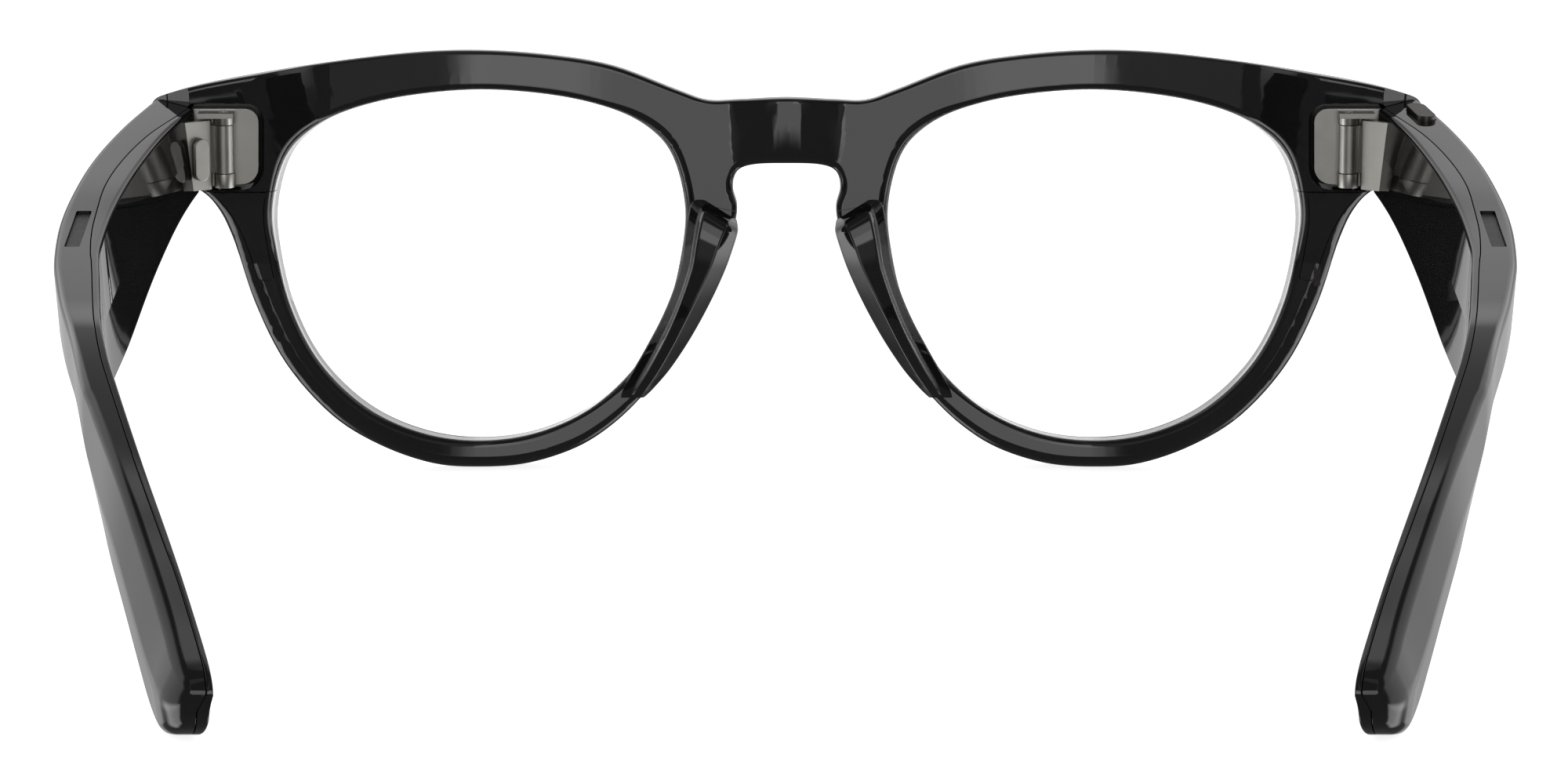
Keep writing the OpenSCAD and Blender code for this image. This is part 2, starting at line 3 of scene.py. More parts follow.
import bmesh
import bpy
import numpy as np
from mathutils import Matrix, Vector


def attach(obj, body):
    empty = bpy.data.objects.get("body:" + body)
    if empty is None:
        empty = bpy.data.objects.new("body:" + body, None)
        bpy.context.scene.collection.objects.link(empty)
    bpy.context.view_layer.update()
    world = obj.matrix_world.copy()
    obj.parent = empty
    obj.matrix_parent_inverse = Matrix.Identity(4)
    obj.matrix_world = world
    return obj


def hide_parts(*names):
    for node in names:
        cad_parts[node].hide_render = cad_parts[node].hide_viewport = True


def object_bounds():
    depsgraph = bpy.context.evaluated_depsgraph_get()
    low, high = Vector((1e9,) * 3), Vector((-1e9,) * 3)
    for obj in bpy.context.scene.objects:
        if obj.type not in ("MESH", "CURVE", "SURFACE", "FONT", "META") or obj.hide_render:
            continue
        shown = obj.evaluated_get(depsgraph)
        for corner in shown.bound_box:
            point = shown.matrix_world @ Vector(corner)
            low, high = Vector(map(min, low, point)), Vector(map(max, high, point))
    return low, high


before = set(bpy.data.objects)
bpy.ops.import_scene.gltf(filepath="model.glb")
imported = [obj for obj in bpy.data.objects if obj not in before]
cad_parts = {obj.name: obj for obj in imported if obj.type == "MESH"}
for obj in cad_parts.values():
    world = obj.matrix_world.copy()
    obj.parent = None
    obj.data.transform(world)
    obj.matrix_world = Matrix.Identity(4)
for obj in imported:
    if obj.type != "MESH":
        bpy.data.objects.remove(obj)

bl_info = {
    "name": "Smart glasses",
    "version": (1, 0, 0),
    "blender": (4, 5, 0),
    "location": "3D View > Sidebar > Glasses",
    "description": "Builds a pair of glossy black smart glasses on metal hinges, with its small studio",
    "category": "Object",
}

MM = 0.001
CAD_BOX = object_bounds()
SIDES = {"left": -1, "right": 1}

# ---------------------------------------------------------------- sizes, in millimetres
TILT = math.radians(5.5)
LEAN = math.radians(1.25)
WRAP = 300.0
THICK = 5.0
LENS_X, LENS_V = 36.6, 24.4
WRAP_C = LENS_X ** 2 / (2 * WRAP) - WRAP
# radii of the front edges, and how far the flats run on before a rounding starts
FORE_EDGE, EYE_FORE_EDGE, HOLD = .9, .5, .15
# how far the rear of the bridge is crowned, across from the middle
CROWN_X = np.linspace(0, 8, 81)
CROWN_RAMP = np.clip(CROWN_X / 2.6, 0, 1) * np.clip((7.3 - CROWN_X) / .9, 0, 1)
CROWN_SLOPE = .2
CROWN = np.cumsum(CROWN_RAMP[::-1])[::-1] * .1 * CROWN_SLOPE

# half of the lens opening about its own axis
HALF_EYE = [
    (0, 20.85), (9, 20.1), (15.9, 18.4), (20.3, 16.0), (22.9, 12.8), (24.3, 7.5),
    (24.15, 2.5), (22.5, -4.8), (19.1, -11.6), (13.6, -17.1), (7, -20.25), (0, -21.25),
]
# half of the front: across, up, and the radius of its rear edge there
HALF_FRONT = [
    (0, 44.15, .45), (5.7, 43.9, .45), (9.5, 43.85, .45), (13.2, 45.1, .45), (20.8, 48.0, .5),
    (28.3, 49.3, .5), (36.7, 49.9, .5), (45.1, 49.65, .5), (56.3, 48.35, .5), (67.3, 46.55, .5),
    (72.8, 45.2, .5), (75.2, 44.0, .5), (75.7, 41.0, .6), (75.0, 36.5, .6), (72.5, 34.4, .8),
    (69.4, 33.6, 1.0), (67.4, 31.5, 1.4), (65.9, 28.0, 1.8), (63.4, 20.0, 2.0), (59.8, 12.6, 1.9),
    (54.5, 6.4, 1.7), (48.8, 2.7, 1.5), (42.5, 0.4, 1.3), (36.7, -0.1, 1.25), (31.0, 0.3, 1.25),
    (25.3, 2.1, 1.2), (20.9, 4.9, 1.1), (17.0, 8.7, .9), (13.4, 13.3, .7), (10.3, 18.7, .6),
    (7.9, 24.2, .6), (6.3, 28.7, .7), (5.95, 31.2, .8), (6.45, 33.4, .9), (5.9, 35.4, .9),
    (3.9, 36.2, .9), (0, 36.35, .9),
]
# temple in plan and in side view, as distance against the place along it
ARM_OUT = [
    (75.1, -3.2), (77.6, -15.3), (79.4, -28.7), (80.1, -41.6), (80.15, -54), (79.2, -67), (77.9, -76),
    (76.2, -85.5), (74.0, -96), (71.3, -108), (67.2, -121.3), (64.0, -131), (61.0, -140.4), (58.9, -148.6),
]
ARM_IN = [
    (69.5, -6.6), (71.6, -15.9), (72.9, -24.6), (74.0, -36.2), (74.6, -47.8), (74.6, -57.8), (74.2, -66.7),
    (73.3, -74.5), (72.3, -82.7), (71.2, -91), (69.9, -98.7), (68.2, -105.9), (63.7, -121.3),
    (60.2, -131), (56.9, -140.4), (54.2, -148.6),
]
ARM_TOP = [
    (44.9, -3.2), (43.4, -15.3), (41.75, -28.7), (40.2, -41.6), (38.6, -54), (36.8, -69), (34.9, -84.7),
    (33.5, -96), (30.7, -106.5), (24.9, -121.3), (19.3, -131), (13.6, -140.4), (9.9, -146.6), (7.9, -148.1),
]
ARM_LOW = [
    (34.6, -5.0), (33.4, -12), (29.2, -28.9), (25.0, -46.3), (23.2, -57), (21.7, -72), (20.9, -86),
    (20.1, -98), (18.0, -110), (12.9, -122.5), (7.4, -131.6), (4.4, -136.6), (3.1, -140.2), (2.9, -142.8),
    (3.5, -145.4), (4.8, -147.3), (6.6, -148.1),
]
LEAN_OUT = [(0.6, -4), (1.2, -25), (1.9, -50), (2.4, -70), (2.3, -95), (1.2, -112), (0.5, -124), (0.3, -150)]
LEAN_IN = [(-0.3, -4), (-1.4, -20), (-1.9, -45), (-1.5, -60), (-0.2, -78), (0.5, -95), (0.5, -150)]
# how far from the inner face the joint of shell and cover runs on the top
SEAM = [
    (0.5, -4), (1.0, -12), (1.8, -20), (2.3, -30), (2.3, -40), (1.75, -50), (1.45, -58), (1.0, -67),
    (0.85, -75), (0.82, -125), (0.6, -136), (0.7, -150),
]
# how far the outer edge of the top stands in, and how far the outer face bulges, towards the tip
EDGE_IN = [(0.0, -1), (0.0, -98), (0.22, -110), (0.5, -120), (0.8, -129), (1.0, -136), (1.2, -142), (1.5, -149)]
BULGE = [(0.0, -1), (0.0, -92), (0.3, -112), (0.4, -125), (0.45, -149)]
# nose pad rows: height, nose edge, nose crease, lens crease, lens edge, how far the creases stand off
PAD_ROWS = [
    (29.6, 6.0, 6.5, 8.3, 9.9, .2), (28.9, 5.85, 6.8, 9.2, 10.8, 1.9), (28.0, 5.85, 7.2, 9.9, 11.4, 3.0),
    (26.0, 6.45, 8.2, 10.7, 12.1, 3.6), (23.5, 7.35, 9.3, 11.4, 12.7, 3.9), (20.5, 8.7, 10.7, 12.4, 13.7, 4.0),
    (17.5, 10.25, 12.2, 13.6, 15.0, 3.7), (14.5, 12.0, 13.7, 15.0, 16.6, 3.0), (11.5, 14.05, 15.4, 16.6, 18.3, 2.0),
    (9.3, 15.95, 16.9, 17.9, 19.6, 1.0), (8.2, 17.1, 17.8, 18.5, 20.0, .25),
]
MITRE = ((70.3, -7.4), (75.0, -3.2))
PORT_Y = -57.5
PORT_HALF = (.85, 7)
BUTTON = (74.5, -10.6)


# ---------------------------------------------------------------- drawing helpers
def spline(rows, steps, closed=False):
    """A smooth curve through rows of numbers."""
    p = np.array(rows, float)
    n = len(p)
    out = []
    for i in range(n if closed else n - 1):
        if closed:
            a, b, c, d = p[i - 1], p[i], p[(i + 1) % n], p[(i + 2) % n]
        else:
            a, b, c, d = p[max(i - 1, 0)], p[i], p[i + 1], p[min(i + 2, n - 1)]
        for k in range(steps):
            t = k / steps
            bend = (2 * a - 5 * b + 4 * c - d) * t * t + (3 * b - a - 3 * c + d) * t ** 3
            out.append(.5 * (2 * b + (c - a) * t + bend))
    if not closed:
        out.append(p[-1])
    return np.array(out)


def both_halves(half):
    """Closes a half drawing with its mirror image."""
    flip = [(-row[0], *row[1:]) for row in half[-2:0:-1]]
    return list(half) + flip


def outward(loop):
    """Unit normals of a closed plane curve, pointing away from what it encloses."""
    step = np.roll(loop, -1, 0) - np.roll(loop, 1, 0)
    normal = np.stack([step[:, 1], -step[:, 0]], 1)
    area = np.sum(loop[:, 0] * np.roll(loop[:, 1], -1) - loop[:, 1] * np.roll(loop[:, 0], -1))
    return normal / np.linalg.norm(normal, axis=1)[:, None] * math.copysign(1, area)


def read_off(curve, y):
    """A curve's value at a place along the temple."""
    return np.interp(-np.asarray(y, float), -curve[:, 1], curve[:, 0])


def ease(a, b, x):
    t = np.clip((x - a) / (b - a), 0, 1)
    return t * t * (3 - 2 * t)


def rounded(corners):
    """Points of a closed drawing whose corners (x, z, radius, steps) are rounded off."""
    out = []
    n = len(corners)
    for i, (x, z, r, steps) in enumerate(corners):
        c = np.array([x, z])
        if not steps:
            out.append(c)
            continue
        a = np.array(corners[i - 1][:2]) - c
        b = np.array(corners[(i + 1) % n][:2]) - c
        la, lb = np.linalg.norm(a), np.linalg.norm(b)
        a, b = a / la, b / lb
        half = math.acos(np.clip(a @ b, -1, 1)) / 2
        reach = min(r / max(math.tan(half), .05), .48 * la, .48 * lb)
        w = max(math.sin(half), .05)
        for k in range(steps + 1):
            t = k / steps
            top = (1 - t) ** 2 * (c + a * reach) + 2 * t * (1 - t) * w * c + t * t * (c + b * reach)
            out.append(top / ((1 - t) ** 2 + 2 * t * (1 - t) * w + t * t))
    return np.array(out)


def seat(points):
    """Design millimetres to the frame's metres."""
    p = np.asarray(points, float).reshape(-1, 3)
    y = p[:, 1] * math.cos(LEAN) - p[:, 2] * math.sin(LEAN) + 70.44
    z = p[:, 1] * math.sin(LEAN) + p[:, 2] * math.cos(LEAN) + 0.34
    return np.stack([p[:, 0], y, z], 1) * MM


def on_front(points):
    """Points drawn on the tilted front (across, through, up) to the frame's metres."""
    p = np.asarray(points, float).reshape(-1, 3)
    y = p[:, 1] * math.cos(TILT) + p[:, 2] * math.sin(TILT) - 3.21
    z = p[:, 2] * math.cos(TILT) - p[:, 1] * math.sin(TILT) + 0.21
    return seat(np.stack([p[:, 0], y, z], 1))


def plan_back(x):
    return WRAP_C + np.sqrt(WRAP ** 2 - x ** 2)


def plan_front(x):
    return WRAP_C + np.sqrt((WRAP + THICK) ** 2 - x ** 2)


def rear_face(x, v):
    """The front's rear face: a cylinder, crowned at the bridge, that swells into the end blocks."""
    ax = np.abs(x)
    crown = np.interp(ax, CROWN_X, CROWN)
    face = plan_back(x) - crown * (1 - .006 * np.clip(44 - v, 0, 8) ** 2)
    block = (-7.32 + 3.21 - v * math.sin(TILT)) / math.cos(TILT)
    s = ease(54.5, 63.4, ax) * ease(25, 33.2, v)
    return face * (1 - s) + block * s


# ---------------------------------------------------------------- modelling helpers
def only(ob):
    """Selects this object and nothing else."""
    if bpy.context.object and bpy.context.object.mode != "OBJECT":
        bpy.ops.object.mode_set(mode="OBJECT")
    bpy.ops.object.select_all(action="DESELECT")
    ob.select_set(True)
    bpy.context.view_layer.objects.active = ob
    return ob


def solid(name, points, faces):
    """A new object from points in its drawing and its faces."""
    mesh = bpy.data.meshes.new(name)
    mesh.from_pydata([tuple(p) for p in points], [], faces)
    ob = bpy.data.objects.new(name, mesh)
    bpy.context.scene.collection.objects.link(ob)
    return ob


def pick(ob, test):
    """In edit mode, selects the edges that pass a test."""
    bpy.ops.mesh.select_mode(type="EDGE")
    bpy.ops.mesh.select_all(action="DESELECT")
    bm = bmesh.from_edit_mesh(ob.data)
    for edge in bm.edges:
        if test(edge):
            edge.select_set(True)
    bm.select_flush_mode()
    bmesh.update_edit_mesh(ob.data)


def outside_out(ob):
    only(ob)
    bpy.ops.object.mode_set(mode="EDIT")
    bpy.ops.mesh.select_all(action="SELECT")
    bpy.ops.mesh.normals_make_consistent(inside=False)
    bpy.ops.object.mode_set(mode="OBJECT")
    return ob


def loft(name, rings):
    """A closed skin through rings that have the same number of points."""
    m = len(rings[0])
    n = len(rings)
    faces = [list(range(m)), [(n - 1) * m + j for j in range(m)]]
    for i in range(n - 1):
        for j in range(m):
            k = (j + 1) % m
            faces.append([i * m + j, i * m + k, (i + 1) * m + k, (i + 1) * m + j])
    return outside_out(solid(name, np.concatenate(rings), faces))


def prism(name, outline, low, high, up=2):
    """A drawn outline given depth along one axis by an extrusion."""
    flat = [np.insert(np.array(p, float), up, low) for p in outline]
    ob = only(solid(name, flat, [list(range(len(flat)))]))
    move = [0, 0, 0]
    move[up] = high - low
    bpy.ops.object.mode_set(mode="EDIT")
    bpy.ops.mesh.select_all(action="SELECT")
    bpy.ops.mesh.extrude_region_move(TRANSFORM_OT_translate={"value": move})
    bpy.ops.object.mode_set(mode="OBJECT")
    return outside_out(ob)


def remap(ob, way):
    """Moves every vertex of a drawing to its place."""
    co = np.zeros(len(ob.data.vertices) * 3)
    ob.data.vertices.foreach_get("co", co)
    ob.data.vertices.foreach_set("co", np.asarray(way(co.reshape(-1, 3))).ravel())
    ob.data.update()
    return ob


def carve(ob, tool, how="DIFFERENCE"):
    """Cuts one solid with another, which is used up."""
    only(ob)
    cut = ob.modifiers.new("cut", "BOOLEAN")
    cut.operation = how
    cut.solver = "EXACT"
    cut.object = tool
    bpy.ops.object.modifier_apply(modifier=cut.name)
    bpy.data.objects.remove(tool)
    return ob


def copy_of(ob, name):
    twin = bpy.data.objects.new(name, ob.data.copy())
    twin.data.name = name
    bpy.context.scene.collection.objects.link(twin)
    return twin


def slice_off(ob, point, normal, edge=0.0):
    """Cuts away what lies beyond a plane, closes the cut and softens its rim."""
    only(ob)
    bpy.ops.object.mode_set(mode="EDIT")
    bpy.ops.mesh.select_all(action="SELECT")
    bpy.ops.mesh.bisect(plane_co=point, plane_no=normal, use_fill=True, clear_outer=True, threshold=1e-6)
    if edge:
        p, n = Vector(point), Vector(normal).normalized()
        pick(ob, lambda e: len(e.link_faces) == 2
             and all(abs((v.co - p).dot(n)) < 2e-6 for v in e.verts)
             and min(abs(f.normal.dot(n)) for f in e.link_faces) < .98)
        bpy.ops.mesh.bevel(offset=edge * MM, segments=3, profile=.5, clamp_overlap=True)
    bpy.ops.object.mode_set(mode="OBJECT")
    return ob


def polish(ob, angle=34):
    """Smooth shading that keeps flats flat beside their rounded edges."""
    only(ob)
    bpy.ops.object.shade_smooth_by_angle(angle=math.radians(angle))
    weigh = ob.modifiers.new("weigh", "WEIGHTED_NORMAL")
    weigh.mode = "FACE_AREA"
    weigh.weight = 70
    weigh.keep_sharp = True
    bpy.ops.object.modifier_apply(modifier=weigh.name)
    return ob


def machined(name, node, width, segments=3):
    """A CAD node's own shape as a new piece, with its edges broken."""
    ob = copy_of(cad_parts[node], name)
    ob.data.materials.clear()
    only(ob)
    bpy.ops.object.mode_set(mode="EDIT")
    bpy.ops.mesh.select_all(action="SELECT")
    bpy.ops.mesh.customdata_custom_splitnormals_clear()
    bpy.ops.mesh.remove_doubles(threshold=2e-6)
    bpy.ops.mesh.dissolve_limited(angle_limit=math.radians(.6))
    bpy.ops.object.mode_set(mode="OBJECT")
    edge = ob.modifiers.new("edge", "BEVEL")
    edge.width = width * MM
    edge.segments = segments
    edge.limit_method = "ANGLE"
    edge.angle_limit = math.radians(34)
    edge.use_clamp_overlap = True
    bpy.ops.object.modifier_apply(modifier=edge.name)
    polish(ob, 40)
    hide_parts(node)
    return ob


def fit_out(ob, body, slot, *nodes):
    """Gives a finished piece its material and its body, and hides the CAD nodes it stands for."""
    ob.data.materials.clear()
    ob.data.materials.append(paint_for(slot))
    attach(ob, body)
    if nodes:
        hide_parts(*nodes)
    return ob


# ---------------------------------------------------------------- finishes
class Wire:
    """A shader socket that takes part in arithmetic."""

    def __init__(self, tree, socket=None):
        self.tree, self.socket = tree, socket

    def node(self, kind, settings=None, sockets=None, out=0):
        made = self.tree.nodes.new(kind)
        for key, value in (settings or {}).items():
            setattr(made, key, value)
        for key, value in (sockets or {}).items():
            if isinstance(value, Wire):
                self.tree.links.new(value.socket, made.inputs[key])
            else:
                made.inputs[key].default_value = value
        return Wire(self.tree, made.outputs[out]) if made.outputs else made

    def maths(self, operation, *values):
        return self.node("ShaderNodeMath", {"operation": operation}, dict(enumerate(values)))

    def __add__(self, other): return self.maths("ADD", self, other)
    def __radd__(self, other): return self.maths("ADD", other, self)
    def __sub__(self, other): return self.maths("SUBTRACT", self, other)
    def __rsub__(self, other): return self.maths("SUBTRACT", other, self)
    def __mul__(self, other): return self.maths("MULTIPLY", self, other)
    def __rmul__(self, other): return self.maths("MULTIPLY", other, self)

    def noise(self, where, scale, detail=2.0, roughness=.5):
        return self.node("ShaderNodeTexNoise", None, {
            "Vector": where, "Scale": scale, "Detail": detail, "Roughness": roughness})

    def step(self, low, high, value):
        return self.node("ShaderNodeMapRange", {"interpolation_type": "SMOOTHSTEP"}, {
            "Value": value, "From Min": low, "From Max": high})

    def blend(self, factor, a, b):
        return self.node("ShaderNodeMix", {"data_type": "RGBA"}, {0: factor, 6: a, 7: b}, out=2)


FINISHES = {}


def finish_of(name, paint):
    """Makes a material once: paint(wire, where) returns the sockets of its shader."""
    if name in FINISHES:
        return FINISHES[name]
    material = bpy.data.materials.new(name)
    material.use_nodes = True
    tree = material.node_tree
    tree.nodes.clear()
    wire = Wire(tree)
    where = wire.node("ShaderNodeTexCoord", out=3)
    shader = wire.node("ShaderNodeBsdfPrincipled", None, paint(wire, where))
    wire.node("ShaderNodeOutputMaterial", None, {"Surface": shader})
    FINISHES[name] = material
    return material


def shade(colour, by):
    """A lighter or darker colour, with full alpha."""
    return (*[min(1, c * by) for c in colour], 1)


def gloss_black(w, p):
    look = bpy.context.scene.glasses_look
    haze = w.noise(p, 900, 3)
    slow = w.noise(p, 110, 1)
    deep = [look.plastic] * 3
    return {
        "Base Color": w.blend(slow, shade(deep, .8), shade((*deep[:2], deep[2] * 1.05), 1.25)),
        "Roughness": look.plastic_roughness + haze * .02,
        "IOR": 1.5,
        "Normal": w.node("ShaderNodeBump", None, {"Strength": .05, "Distance": .00008, "Height": slow}),
    }


def satin(colour, base, grain):
    def paint(w, p):
        fine = w.noise(p, grain, 2, .6)
        cloud = w.noise(p, 420, 3)
        pits = w.node("ShaderNodeTexVoronoi", None, {"Vector": p, "Scale": grain * .45})
        return {
            "Base Color": w.blend(cloud, shade(colour, .86), shade(colour, 1.12)),
            "Metallic": 1.0,
            "Roughness": base - .05 + cloud * .1 + fine * .06,
            "Normal": w.node("ShaderNodeBump", None, {
                "Strength": .35, "Distance": .000012, "Height": fine + pits * .5}),
        }
    return paint


def lens_glass(w, p):
    veil = w.noise(p, 60, 2)
    return {
        "Base Color": w.blend(veil, (.992, 1, .997, 1), (1, 1, 1, 1)),
        "Roughness": veil * .004,
        "IOR": 1.5,
        "Transmission Weight": 1.0,
    }


def moulded(colour, base, bump=.2):
    def paint(w, p):
        grain = w.noise(p, 2600, 3)
        cloud = w.noise(p, 300, 2)
        return {
            "Base Color": w.blend(cloud, shade(colour, .8), shade(colour, 1.2)),
            "Roughness": base - .04 + cloud * .1,
            "Normal": w.node("ShaderNodeBump", None, {
                "Strength": bump, "Distance": .00002, "Height": grain}),
        }
    return paint


def dark_glass(w, p):
    haze = w.noise(p, 700, 2)
    return {
        "Base Color": w.blend(haze, (.004, .004, .006, 1), (.009, .008, .012, 1)),
        "Roughness": .02 + haze * .02, "IOR": 1.55,
    }


def led_diffuser(w, p):
    grain = w.noise(p, 3000, 2)
    return {
        "Base Color": w.blend(grain, (.62, .64, .64, 1), (.75, .76, .75, 1)),
        "Roughness": .25 + grain * .1, "Transmission Weight": .35,
    }


def grille(w, p):
    holes = w.node("ShaderNodeTexVoronoi", {"feature": "F1"}, {
        "Vector": p, "Scale": 2600.0, "Randomness": .15})
    rim = w.step(.25, .38, holes)
    return {
        # painted shade: the holes are painted near black for the shade inside them, while the rim between keeps the
        # grille's own dark tone
        "Base Color": w.blend(rim, (.001, .001, .001, 1), (.02, .02, .021, 1)),
        "Roughness": .3 + rim * .12,
        "Normal": w.node("ShaderNodeBump", None, {"Strength": .6, "Distance": .00006, "Height": rim}),
    }


def circuit(w, p):
    tracks = w.node("ShaderNodeTexBrick", None, {"Vector": p, "Scale": 420.0, "Mortar Size": .03})
    cloud = w.noise(p, 900, 2)
    return {
        "Base Color": w.blend(cloud, (.006, .05, .022, 1), (.012, .085, .04, 1)),
        "Roughness": .35 + cloud * .15,
        "Normal": w.node("ShaderNodeBump", None, {"Strength": .3, "Distance": .00005, "Height": tracks}),
    }


def paint_for(slot):
    look = bpy.context.scene.glasses_look
    tone = tuple(look.hinge_colour)
    table = {
        "gloss_black": gloss_black,
        "clear_lens": lens_glass,
        "satin_metal": satin(tone, look.hinge_roughness, 7000.0),
        "dark_satin_metal": satin((.085, .078, .072), .36, 6500.0),
        "screw_steel": satin((.56, .56, .56), .25, 5200.0),
        "camera_glass": dark_glass,
        "module_black": moulded((.02, .02, .022), .5),
        "diffuser": led_diffuser,
        "circuit_board": circuit,
        "sensor_window": moulded((.012, .006, .008), .16, .05),
        "contact_gold": satin((.72, .52, .24), .24, 4800.0),
        "flex_amber": moulded((.32, .13, .02), .35),
        "grille_black": grille,
        "cell_foil": satin((.62, .63, .65), .34, 3800.0),
    }
    return finish_of(slot, table[slot])


# ---------------------------------------------------------------- the front
def drawn_front():
    """The whole front as a flat plate with rounded edges: across, through, up."""
    outline = spline(both_halves(HALF_FRONT), 6, True)
    loops = [(outline[:, :2], outward(outline[:, :2]) * -1, outline[:, 2], FORE_EDGE)]
    eye = spline(both_halves(HALF_EYE), 8, True)
    for s in (-1, 1):
        hole = eye + np.array([s * LENS_X, LENS_V])
        nose_side = ease(.55, .95, -s * (hole[:, 0] - s * LENS_X) / 24.3)
        loops.append((hole, outward(hole), .7 + .7 * nose_side, EYE_FORE_EDGE))
    points, faces = [], []
    for curve, inward, rear, fore in loops:
        fore = np.full(len(curve), fore)
        rings = [(rear + HOLD, np.zeros(len(curve)))]
        for k in range(7):
            f = math.radians(15 * k)
            rings.append((rear * (1 - math.sin(f)), rear * (1 - math.cos(f))))
        for k in range(6, -1, -1):
            f = math.radians(15 * k)
            rings.append((fore * (1 - math.sin(f)), THICK - fore * (1 - math.cos(f))))
        rings.append((fore + HOLD, np.full(len(curve), THICK)))
        start, m = len(points), len(curve)
        for inset, depth in rings:
            flat = curve + inward * inset[:, None]
            points += [(a, d, b) for (a, b), d in zip(flat, depth)]
        for i in range(len(rings) - 1):
            for j in range(m):
                k = (j + 1) % m
                a, b = start + i * m, start + (i + 1) * m
                faces.append([a + j, a + k, b + k, b + j])
    ob = only(solid("front_plate", points, faces))
    bpy.ops.object.mode_set(mode="EDIT")
    for depth in (0, THICK):
        pick(ob, lambda e, d=depth: len(e.link_faces) == 1
             and all(abs(v.co.y - d) < 1e-5 for v in e.verts))
        bpy.ops.mesh.fill()
    for x in np.arange(-75.25, 75.5, 1.4):
        bpy.ops.mesh.select_all(action="SELECT")
        bpy.ops.mesh.bisect(plane_co=(x, 0, 0), plane_no=(1, 0, 0))
    for z in np.arange(2.1, 49, 1.9):
        bpy.ops.mesh.select_all(action="SELECT")
        bpy.ops.mesh.bisect(plane_co=(0, 0, z), plane_no=(0, 0, 1))
    bpy.ops.object.mode_set(mode="OBJECT")
    return outside_out(ob)


def wrapped(p):
    """Bends the flat plate round the face."""
    x, d, v = p[:, 0], p[:, 1], p[:, 2]
    rear, fore = rear_face(x, v), plan_front(x)
    w = np.where(d < THICK / 2, rear + d, fore - (THICK - d))
    return on_front(np.stack([x, w, v], 1))


def behind(outline, depth, name):
    """A tool that takes in everything drawn and less than a depth into the rear face."""
    ob = prism(name, outline, 0, 20, up=1)
    only(ob)
    bpy.ops.object.mode_set(mode="EDIT")
    for x in np.arange(-80.13, 81, 1.9):
        bpy.ops.mesh.select_all(action="SELECT")
        bpy.ops.mesh.bisect(plane_co=(x, 0, 0), plane_no=(1, 0, 0))
    bpy.ops.object.mode_set(mode="OBJECT")
    return remap(ob, lambda p: on_front(np.stack(
        [p[:, 0], np.where(p[:, 1] > 10, plan_back(p[:, 0]) + depth, -22), p[:, 2]], 1)))


def grown(outline, by):
    loop = np.array(outline, float)
    return loop + outward(loop) * by


TOP_COVER = [
    (90, 33.5), (60, 33.5), (48, 42), (36.6, 43.5), (22, 40), (14.2, 33), (12.6, 31.9), (5.6, 30.5), (0, 30),
    (-5.6, 30.5), (-12.6, 31.9), (-14.2, 33), (-22, 40), (-36.6, 43.5), (-48, 42), (-60, 33.5), (-90, 33.5),
    (-90, 60), (90, 60),
]


def side_cover_outline(side):
    """Between the opening and the rounded outer edge, from the upper joint down to a round end."""
    eye = spline(both_halves(HALF_EYE), 8, True)
    edge = spline(HALF_FRONT, 6)
    eye = eye[(eye[:, 0] > 20) & (eye[:, 1] > -8) & (eye[:, 1] < 12)]
    edge = edge[(edge[:, 0] > 60) & (edge[:, 1] > 10) & (edge[:, 1] < 33.2)]
    eye = eye[np.argsort(eye[:, 1])]
    edge = edge[np.argsort(edge[:, 1])]
    ups = np.linspace(22.8, 33.42, 12)
    near = [(LENS_X + np.interp(v - LENS_V, eye[:, 1], eye[:, 0]) + .95, v) for v in ups]
    far = [
        (np.interp(v, edge[:, 1], edge[:, 0]) - np.interp(v, edge[:, 1], edge[:, 2]) * .8, v)
        for v in ups]
    loop = near + far[::-1]
    last = len(loop) - 1
    loop = rounded([(x, v, .6, 4 if i in (0, last) else 0) for i, (x, v) in enumerate(loop)])
    return [(side * x, v) for x, v in loop]


def hull(points):
    """The convex outline round some points."""
    pts = sorted(set((round(float(x), 5), round(float(y), 5)) for x, y in points))

    def bulges(a, b, p):
        return (b[0] - a[0]) * (p[1] - a[1]) - (b[1] - a[1]) * (p[0] - a[0]) > 0

    def run(seq):
        out = []
        for p in seq:
            while len(out) > 1 and not bulges(out[-2], out[-1], p):
                out.pop()
            out.append(p)
        return out[:-1]
    return run(pts) + run(pts[::-1])


def seat_outline(grow, side):
    """The hinge plate's outline, seen from behind."""
    pts = []
    for cx, cz, r in ((63.9, 42.6, 1.6), (64.4, 37.2, 2.0), (69.8, 43.8, .4), (69.8, 35.4, .4)):
        for a in np.linspace(0, 2 * math.pi, 40, endpoint=False):
            pts.append((side * (cx + (r + grow) * math.cos(a)), cz + (r + grow) * math.sin(a)))
    return hull(pts)


def mitre_plane(side, gap):
    (x0, y0), (x1, y1) = MITRE
    n = np.array([y1 - y0, -(x1 - x0)])
    n = n / np.linalg.norm(n)
    a = seat([(side * (x0 + n[0] * gap), y0 + n[1] * gap, 20)])[0]
    b = seat([(side * (x0 + n[0] * (gap + 10)), y0 + n[1] * (gap + 10), 20)])[0]
    return a, b - a


